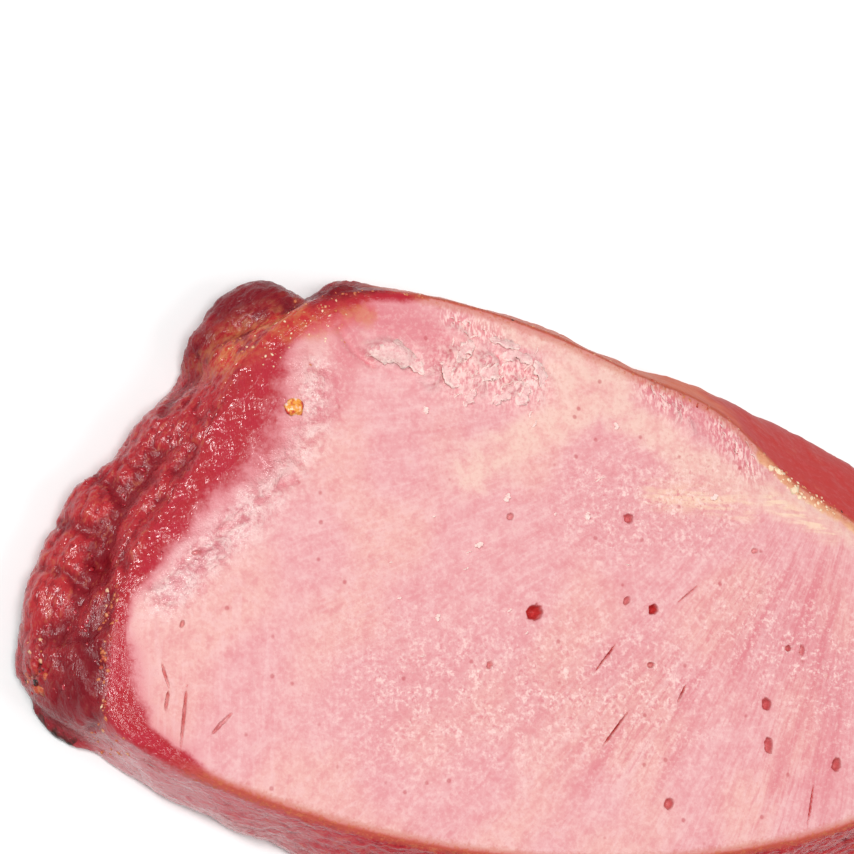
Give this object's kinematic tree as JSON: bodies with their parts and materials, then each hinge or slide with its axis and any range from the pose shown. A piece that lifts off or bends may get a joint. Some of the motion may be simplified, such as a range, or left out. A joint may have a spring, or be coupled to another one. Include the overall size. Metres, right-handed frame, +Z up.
{
  "type": "slice of glazed ham",
  "caption": "thick hand-cut slice of glazed roast ham lying flat, pink porous cut face up, with a lumpy dark red glazed bark domed all round its edge",
  "frame": {"origin": "middle of the slice's bounding box in X and Y, on the flat back that the slice lies on (z = 0)", "axes": "+Z up out of the cut face, +X along the slice's length from its broad bark band on the left to its right end, +Y towards the edge with the dark knob"},
  "size_m": [0.1582, 0.09, 0.0156],
  "materials": {
    "ham": "moist cooked pork: pale pink fibrous cut face with pores and cream fat seams, dark red glossy beaded bark with amber crisp edges"
  },
  "bodies": {
    "root": {"ham_slice": "ham"}
  },
  "joints": []
}
